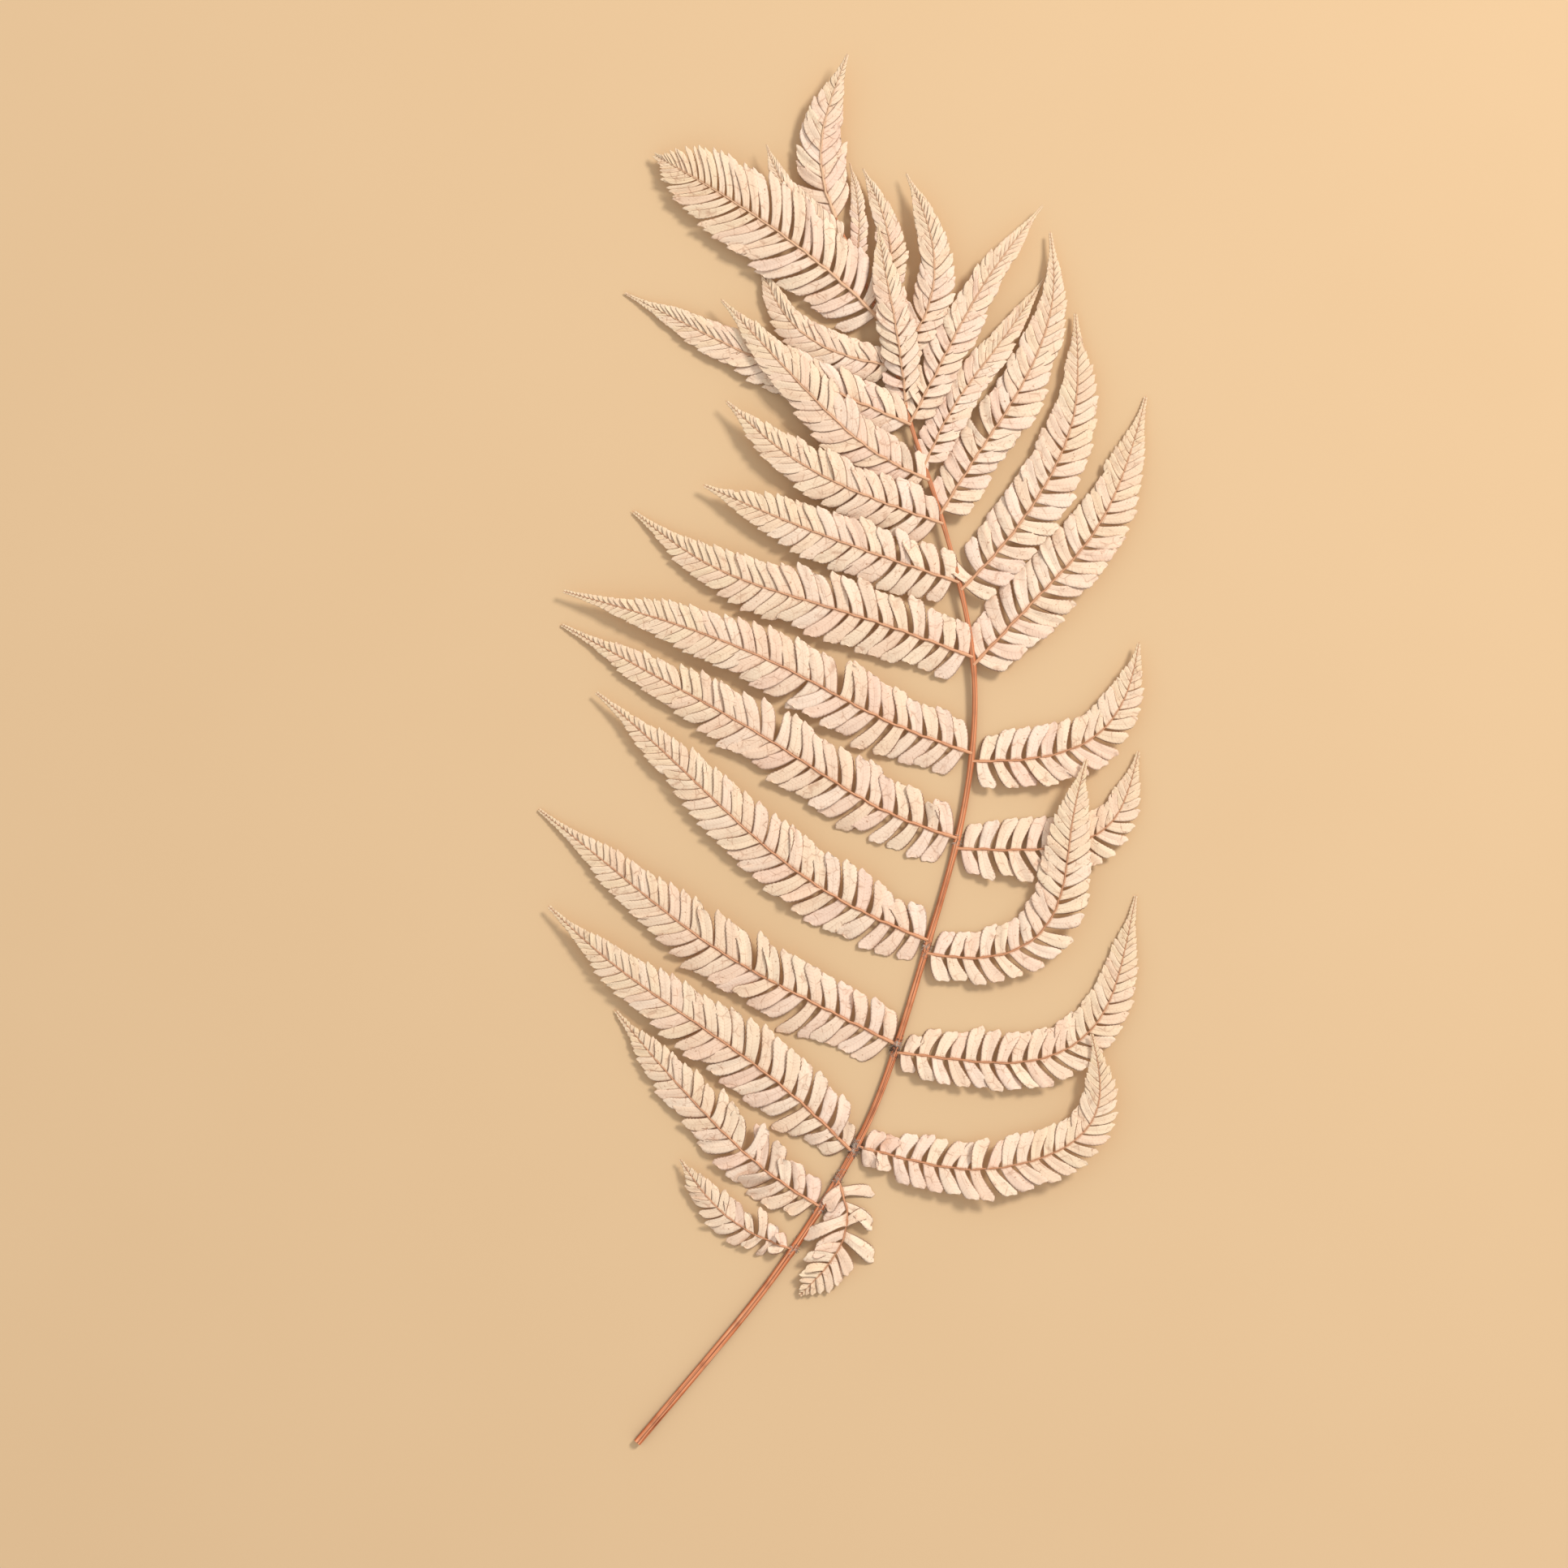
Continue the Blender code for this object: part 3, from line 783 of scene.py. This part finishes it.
def scale_root(station):
    """A place on the stalk's skin near a joint."""
    at = station + scale_random.gauss(0, SCALE_TUFT)
    turn = scale_random.uniform(-SCALE_TURN, SCALE_TURN)
    heading = STALK.heading(at)
    across = np.array((-math.sin(heading), math.cos(heading)))
    x, y = STALK.at(at) + across * shrunk_radius(at) * math.sin(turn)
    return np.array((x, y, shrunk_height(at) + shrunk_radius(at) * math.cos(turn)))


def scale_strip(root):
    """Points of one strip, two at each step, narrowing to its tip."""
    way = scale_random.uniform(0, 2 * math.pi)
    long = SCALE_LENGTH * scale_random.uniform(0.5, 1.3)
    rise = scale_random.uniform(-0.1, 0.25)
    swerve = scale_random.gauss(0, 0.9)
    strip = []
    for k in range(SCALE_STEPS + 1):
        t = k / SCALE_STEPS
        half = SCALE_WIDTH * 0.5 * (1 - t) ** 0.7 + SCALE_TIP
        turn = way + swerve * t
        middle = root[:2] + np.array((math.cos(turn), math.sin(turn))) * long * t
        height = max(root[2] + rise * long * t * (1 - 0.7 * t), SCALE_LOWEST)
        for edge in (-1, 1):
            x, y = middle + np.array((-math.sin(turn), math.cos(turn))) * half * edge
            strip.append((x, y, height + SCALE_TWIST * edge))
    return strip


def build_scales():
    """All tufts as one mesh."""
    points, faces = [], []
    for station, count in SCALE_JOINTS:
        for _ in range(count):
            first = len(points)
            points += scale_strip(scale_root(station))
            for a in range(first, first + 2 * SCALE_STEPS, 2):
                faces.append((a, a + 2, a + 3, a + 1))
    return mesh_piece("scales", points, faces)


scales = build_scales()
print("scales:", sum(count for _, count in SCALE_JOINTS))

# %% [markdown]
# ## Colours and shader nodes
# Colours are written as the hex values that an eye-dropper shows, and the renderer wants
# linear light, so one function turns the first into the second. Another adds a shader node
# with its settings and links in one call. Sizes of patterns are written in millimetres.

# %% Helpers for materials
def hex_colour(text):
    """Linear RGBA of an sRGB hex colour."""
    parts = [int(text[i:i + 2], 16) / 255 for i in (1, 3, 5)]
    return tuple(p / 12.92 if p <= 0.04045 else ((p + 0.055) / 1.055) ** 2.4 for p in parts) + (1.0,)


def texture_scale(size):
    """Scale of a texture whose cells are this many mm wide; its space is in metres."""
    return 1 / (size * MM)


def new_material(name):
    """A material with its node tree and its shader node."""
    material = bpy.data.materials.new(name)
    material.use_nodes = True
    return material, material.node_tree, material.node_tree.nodes["Principled BSDF"]


def add_node(tree, kind, settings=None, inputs=None):
    """Adds a node. Each input is given as a socket to link, a hex colour or a plain value."""
    node = tree.nodes.new(kind)
    for key, value in (settings or {}).items():
        setattr(node, key, value)
    for key, value in (inputs or {}).items():
        if isinstance(value, bpy.types.NodeSocket):
            tree.links.new(node.inputs[key], value)
        else:
            node.inputs[key].default_value = hex_colour(value) if isinstance(value, str) else value
    return node


print("peach cream in linear light:", [round(c, 3) for c in hex_colour("#F6E0CB")])

# %% [markdown]
# Each finish here is one plain colour with coats of tint over it, like glazes on a painting. A
# coat shows where its ramps say. A ramp turns a measure, such as how near the edge a point is,
# into 0 to 1: it gives the value where the coat starts and the one where it is full. Several
# ramps are multiplied, so a coat can keep to the edge and fade towards the end as well.

# %% Coats of tint
MIX_FACTOR, MIX_UNDER, MIX_OVER, MIX_RESULT = 0, 6, 7, 2


def mask_of(tree, strength, ramps):
    """Product of the strength and the ramps: source, start, full, and least and most if given."""
    mask = strength
    for source, start, full, *ends in ramps:
        least, most = ends or (0.0, 1.0)
        ramp = add_node(tree, "ShaderNodeMapRange", None,
                        {"Value": source, "From Min": start, "From Max": full,
                         "To Min": least, "To Max": most})
        product = add_node(tree, "ShaderNodeMath", {"operation": "MULTIPLY"},
                           {0: ramp.outputs[0], 1: mask})
        mask = product.outputs[0]
    return mask


def paint(tree, colour, coats):
    """Lays coats over a colour. A coat is its tint, its greatest strength and its ramps."""
    for tint, strength, *ramps in coats:
        mask = mask_of(tree, strength, ramps)
        mix = add_node(tree, "ShaderNodeMix", {"data_type": "RGBA"},
                       {MIX_FACTOR: mask, MIX_UNDER: colour, MIX_OVER: tint})
        colour = mix.outputs[MIX_RESULT]
    return colour


print("a coat's colour leaves the mix node at socket", MIX_RESULT)

# %% [markdown]
# ## Bleached, pressed leaf
# The green has been bleached out, so what is left is the leaf's own paper: peach cream, here
# pinker, there yellower, with a dull dry surface. The veins stay as fine pinkish lines: one
# down the middle of each leaflet and side veins that slant from it to the teeth, about 1.3 mm
# apart. The foot of a leaflet is browner. Its edge gets a dark brown line that is partly its own
# browned margin and partly painted shade, the shadow in the gaps between leaflets. All of it is
# drawn from the UV map and from noise in real sizes, so no image is needed, and it stays sharp
# close up. Mottles are 4 mm wide and specks 1.4 mm. The real grain is finer than a tenth of a
# millimetre, too fine to show, so it is drawn at two thirds of a millimetre.

# %% What the leaf material measures
MOTTLE_SIZE = 3.85
GRAIN_SIZE = 0.667
SPECK_SIZE = 1.43
leaf, tree, shader = new_material("bleached_pressed_leaf")
place = add_node(tree, "ShaderNodeUVMap", {"uv_map": "place"})
uv = add_node(tree, "ShaderNodeSeparateXYZ", None, {0: place.outputs[0]})
draws = add_node(tree, "ShaderNodeAttribute", {"attribute_name": "draws"})
draw = add_node(tree, "ShaderNodeSeparateColor", None, {0: draws.outputs["Color"]})
pinker, yellower, outer = draw.outputs[0], draw.outputs[1], draw.outputs[2]
along, across = uv.outputs[0], uv.outputs[1]
signed = add_node(tree, "ShaderNodeMapRange", None, {"Value": across, "To Min": -1.0})
distance = add_node(tree, "ShaderNodeMath", {"operation": "ABSOLUTE"}, {0: signed.outputs[0]})
off_middle = distance.outputs[0]
spot = add_node(tree, "ShaderNodeTexCoord").outputs["Object"]
noises = []
for size, detail in ((MOTTLE_SIZE, 3.0), (GRAIN_SIZE, 2.0), (SPECK_SIZE, 1.0)):
    noise = add_node(tree, "ShaderNodeTexNoise", None,
                     {"Vector": spot, "Scale": texture_scale(size), "Detail": detail})
    noises.append(noise.outputs[0])
mottle, grain, speck = noises
print("measures taken with", len(tree.nodes), "nodes")

# %% [markdown]
# A side vein lies wherever the distance along the leaflet is a whole number of spacings. That
# distance is made smaller towards the edge, which slants the veins, and a little noise is
# added, which makes them waver. Folds are the edges of cells 5 mm wide, broken up by noise.
# They are sunk by the bump, and their darker colour is painted shade in the creases.

# %% Veins and folds
VEIN_SPACING = 1.3
VEIN_HALF_WIDTH = 0.186
VEIN_SLANT = 1.6
VEIN_WAVER = 1.1
FOLD_CELL = 5.26
leaf_length = add_node(tree, "ShaderNodeMath", {"operation": "MULTIPLY"},
                       {0: draws.outputs["Alpha"], 1: LENGTH_UNIT})
run = add_node(tree, "ShaderNodeMath", {"operation": "MULTIPLY"},
               {0: along, 1: leaf_length.outputs[0]})
for source, share in ((off_middle, -VEIN_SLANT), (mottle, VEIN_WAVER)):
    run = add_node(tree, "ShaderNodeMath", {"operation": "MULTIPLY_ADD"},
                   {0: source, 1: share, 2: run.outputs[0]})
between = add_node(tree, "ShaderNodeMath", {"operation": "PINGPONG"},
                   {0: run.outputs[0], 1: VEIN_SPACING / 2})
cells = add_node(tree, "ShaderNodeTexVoronoi", {"feature": "DISTANCE_TO_EDGE"},
                 {"Vector": spot, "Scale": texture_scale(FOLD_CELL)})
side_vein = [(between.outputs[0], VEIN_SPACING / 2 - VEIN_HALF_WIDTH, VEIN_SPACING / 2)]
middle_vein = [(off_middle, 0.0714, 0.0), (along, 1.05, 0.05)]
fold = [(cells.outputs[0], 0.0625, 0.0), (mottle, 0.44, 0.64)]
print("side veins on a leaflet of 15 mm:", int(15 / VEIN_SPACING))

# %% Colour and relief of the leaf
# The dark edge line is partly the leaflet's browned margin and partly painted shade from the gaps
# between leaflets.
browned_and_shaded_edge = [(off_middle, 0.82, 0.945), (along, 0.92, 0.703, 0.35, 1.0),
              (yellower, 0.0, 1.0, 0.55, 0.95)]
colour = paint(tree, "#FDE9DA", [
    ("#F9D9C8", 1.0, (pinker, 0.0, 1.0)),
    ("#F8E6C4", 0.5, (yellower, 0.0, 1.0)),
    ("#F1DBB0", 0.6, (outer, 0.0, 1.0), (outer, 0.0, 1.0)),
    ("#F4CDB0", 1.0, (mottle, 0.48, 1.313)),
    ("#E0B090", 0.17, *side_vein),
    ("#D39A78", 0.45, *middle_vein),
    # Dark brown edge line: partly browned margin, partly painted shade in the gaps between leaflets.
    ("#6C391D", 1.0, *browned_and_shaded_edge),
    ("#CF9C74", 0.6, (along, 0.111, 0.0)),
    # Painted shade: the folds are darkened, as shade in the creases.
    ("#A97252", 0.42, *fold),
    ("#A9714B", 0.55, (speck, 0.70, 0.771)),
])
tree.links.new(shader.inputs["Base Color"], colour)
relief = 0.0
raised = [(grain, 0.0, 1.0)]
for depth, ramps in ((-0.35, side_vein), (0.5, raised), (-0.6, middle_vein), (-0.7, fold)):
    total = add_node(tree, "ShaderNodeMath", {"operation": "ADD"},
                     {0: mask_of(tree, depth, ramps), 1: relief})
    relief = total.outputs[0]
bump = add_node(tree, "ShaderNodeBump", None,
                {"Strength": 0.5, "Distance": 0.25 * MM, "Height": relief})
tree.links.new(shader.inputs["Normal"], bump.outputs[0])
shader.inputs["Roughness"].default_value = 0.78
shader.inputs["Specular IOR Level"].default_value = 0.3
shader.inputs["IOR"].default_value = 1.45
for piece in leaf_pieces:
    piece.data.materials.append(leaf)
print("leaf material:", len(tree.nodes), "nodes")

# %% [markdown]
# ## Dry stalk and ribs
# The stalk and ribs keep their tannin, so bleach leaves them rust brown. Drying pulls the skin
# into fine lengthwise wrinkles. Noise that is stretched along the stalk gives such streaks: each
# is about 30 mm long, and a third of a millimetre wide. They are darker in the furrows and pale
# on the ridges, partly the skin's own stripes and partly painted shade and painted highlight. A
# pale band along the top is painted highlight; the sides, the underside and the top groove are
# darker with painted shade. Towards the tip of the frond the ribs are paler.

# %% The stalk and rib material
STREAK_SHARE = 0.35
BLOTCH_SCALE = 1.4
PALE_RIB = "#E6C3A2"


def stalk_material(name, stripes, pale_tone_and_highlight, body, dark_tone_and_shade, end):
    """Streaked dry stalk, with a painted highlight along its top and painted shade on its sides,
    underside and top groove; end is the colour that it fades to where it is thinnest.
    """
    material, tree, shader = new_material(name)
    place = add_node(tree, "ShaderNodeUVMap", {"uv_map": "place"}).outputs[0]
    run = add_node(tree, "ShaderNodeSeparateXYZ", None, {0: place})
    draws = add_node(tree, "ShaderNodeAttribute", {"attribute_name": "draws"})
    draw = add_node(tree, "ShaderNodeSeparateColor", None, {0: draws.outputs["Color"]})
    out, up, aside = draw.outputs[0], draw.outputs[1], draw.outputs[2]
    spot = add_node(tree, "ShaderNodeCombineXYZ", None, {0: run.outputs[0], 1: up, 2: aside})
    stretched = add_node(tree, "ShaderNodeVectorMath", {"operation": "MULTIPLY"},
                         {0: spot.outputs[0], 1: (STREAK_SHARE, stripes, stripes)})
    streaks = add_node(tree, "ShaderNodeTexNoise", None,
                       {"Vector": stretched.outputs[0], "Scale": 1.0, "Detail": 3.0})
    blotches = add_node(tree, "ShaderNodeTexNoise", None,
                        {"Vector": place, "Scale": BLOTCH_SCALE, "Detail": 2.0})
    streak, blotch = streaks.outputs[0], blotches.outputs[0]
    thinning = add_node(tree, "ShaderNodeMath", {"operation": "POWER"}, {0: out, 1: 1.5})
    colour = paint(tree, body, [
        # Painted highlight: a pale band along the top, where the light falls.
        (pale_tone_and_highlight, 0.45, (up, 0.84, 0.983)),
        # Streaks: partly the skin's own stripes, partly painted highlight on the ridges and painted
        # shade in the furrows.
        (pale_tone_and_highlight, 1.0, (streak, 0.54, 0.651)),
        (dark_tone_and_shade, 1.0, (streak, 0.45, 0.35)),
        # Painted shade: the sides and the underside are darker, turned away from the light.
        (dark_tone_and_shade, 1.0, (up, 0.86, 0.405)),
        # Painted shade in the groove along the top.
        (dark_tone_and_shade, 0.8, (up, 0.984, 0.9973)),
        (dark_tone_and_shade, 1.0, (blotch, 0.50, 1.056)),
        (end, 1.0, (thinning.outputs[0], 0.0, 1.0)),
        (PALE_RIB, 1.0, (draws.outputs["Alpha"], 0.50, 0.935)),
    ])
    tree.links.new(shader.inputs["Base Color"], colour)
    bump = add_node(tree, "ShaderNodeBump", None,
                    {"Strength": 0.7, "Distance": 0.3 * MM, "Height": streak})
    tree.links.new(shader.inputs["Normal"], bump.outputs[0])
    shader.inputs["Roughness"].default_value = 0.5
    shader.inputs["Specular IOR Level"].default_value = 0.4
    return material


# The pale colour serves the streaks and the painted highlight; the dark one serves the streaks, the
# blotches and the painted shade.
stalk_skin = stalk_material("dry_fern_stalk", 9.0, "#FBBE94", "#DA7A4A", "#6F2C13", "#CF8A62")
rib_skin = stalk_material("dry_fern_rib", 4.0, "#F0BD96", "#DE9B72", "#99542F", "#D9A684")
stalk.data.materials.append(stalk_skin)
for piece in rib_pieces:
    piece.data.materials.append(rib_skin)
print("stalk material:", len(stalk_skin.node_tree.nodes), "nodes")

# %% [markdown]
# Scales are dead, thin tissue that has gone grey brown, darker and paler in patches of 2 mm.
# The cut end shows the pith, pale and fibrous. Both are dull, so they are rough and plain.

# %% Scales and pith
SCALE_PATCH = 2.38
PITH_FIBRE = 0.385
scale_skin, tree, shader = new_material("dry_scale_tissue")
spot = add_node(tree, "ShaderNodeTexCoord").outputs["Object"]
patch = add_node(tree, "ShaderNodeTexNoise", None,
                 {"Vector": spot, "Scale": texture_scale(SCALE_PATCH), "Detail": 2.0})
colour = paint(tree, "#4E392F", [("#CDBDB0", 1.0, (patch.outputs[0], 0.40, 0.65))])
tree.links.new(shader.inputs["Base Color"], colour)
shader.inputs["Roughness"].default_value = 0.7
scales.data.materials.append(scale_skin)

pith, tree, shader = new_material("dry_pith")
spot = add_node(tree, "ShaderNodeTexCoord").outputs["Object"]
fibre = add_node(tree, "ShaderNodeTexNoise", None,
                 {"Vector": spot, "Scale": texture_scale(PITH_FIBRE), "Detail": 2.0})
colour = paint(tree, "#F1DDC0", [("#C9A27C", 1.0, (fibre.outputs[0], 0.0, 1.0))])
tree.links.new(shader.inputs["Base Color"], colour)
shader.inputs["Roughness"].default_value = 0.85
stalk.data.materials.append(pith)
cut_faces = [p for p in stalk.data.polygons if len(p.vertices) > 4]
for face in cut_faces:
    face.material_index = 1
    face.use_smooth = False
print("cut faces:", len(cut_faces))

# %% [markdown]
# ## What each piece stands for
# Every piece rides on the one body of the frond, and all of them together stand for its solid.

# %% Place the pieces on the frame
for piece in leaf_pieces:
    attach(piece, "root")
    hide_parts("frond")
for piece in rib_pieces + [stalk, scales]:
    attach(piece, "root")
    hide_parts("frond")
print("pieces placed:", len(leaf_pieces) + len(rib_pieces) + 2)

# %% [markdown]
# ## Floor, light and camera
# The frond lies on a plain pale table of a warm sand tone, seen from straight above. Soft light
# comes from the upper right, so each raised leaflet drops a soft shadow to the lower left,
# and a pale sky fills the rest. A long lens keeps the edges of the view as flat as a scan.

# %% Floor
FLOOR_SIZE = 30.0
FLOOR_GAP = 0.2
FLOOR_CLOUD = 111.0
bpy.ops.mesh.primitive_plane_add(size=FLOOR_SIZE, location=(0, 0, -FLOOR_GAP * MM))
floor = bpy.context.object
floor.name = "table"
table, tree, shader = new_material("matt_sand_table")
spot = add_node(tree, "ShaderNodeTexCoord").outputs["Object"]
cloud = add_node(tree, "ShaderNodeTexNoise", None,
                 {"Vector": spot, "Scale": texture_scale(FLOOR_CLOUD), "Detail": 3.0})
colour = paint(tree, "#E0C49F", [("#DDC09A", 1.0, (cloud.outputs[0], 0.0, 1.0))])
tree.links.new(shader.inputs["Base Color"], colour)
shader.inputs["Roughness"].default_value = 0.9
shader.inputs["Specular IOR Level"].default_value = 0.2
floor.data.materials.append(table)
print("the floor lies", FLOOR_GAP, "mm under the frond")

# %% Light
KEY_PLACE = (1.65, 1.45, 2.1)
KEY_SIZE = 0.75
KEY_POWER = 62.0
SKY_STRENGTH = 0.66
key_data = bpy.data.lights.new("key", "AREA")
key_data.shape = "DISK"
key_data.size = KEY_SIZE
key_data.energy = KEY_POWER
key_data.color = hex_colour("#FFF6EA")[:3]
key = bpy.data.objects.new("key", key_data)
key.location = KEY_PLACE
key.rotation_euler = (-key.location).to_track_quat("-Z", "Y").to_euler()
bpy.context.collection.objects.link(key)
world = bpy.data.worlds.new("studio")
world.use_nodes = True
sky = world.node_tree.nodes["Background"]
sky.inputs["Color"].default_value = hex_colour("#FFF8F0")
sky.inputs["Strength"].default_value = SKY_STRENGTH
bpy.context.scene.world = world
bpy.context.scene.view_settings.view_transform = "Standard"
print("the key light stands", round(key.location.length, 2), "m away")

# %% Camera
VIEW_WIDTH = 618.2
BLADE_LEVEL = 4.0
LENS = 100.0
SENSOR = 36.0
camera_data = bpy.data.cameras.new("camera")
camera_data.lens = LENS
camera_data.sensor_width = SENSOR
camera = bpy.data.objects.new("camera", camera_data)
camera_height = VIEW_WIDTH * LENS / SENSOR + BLADE_LEVEL
camera.location = Vector((-FRAME_SHIFT.x, -FRAME_SHIFT.y, camera_height)) * MM
bpy.context.collection.objects.link(camera)
bpy.context.scene.camera = camera
print("camera", [round(c, 3) for c in camera.location])
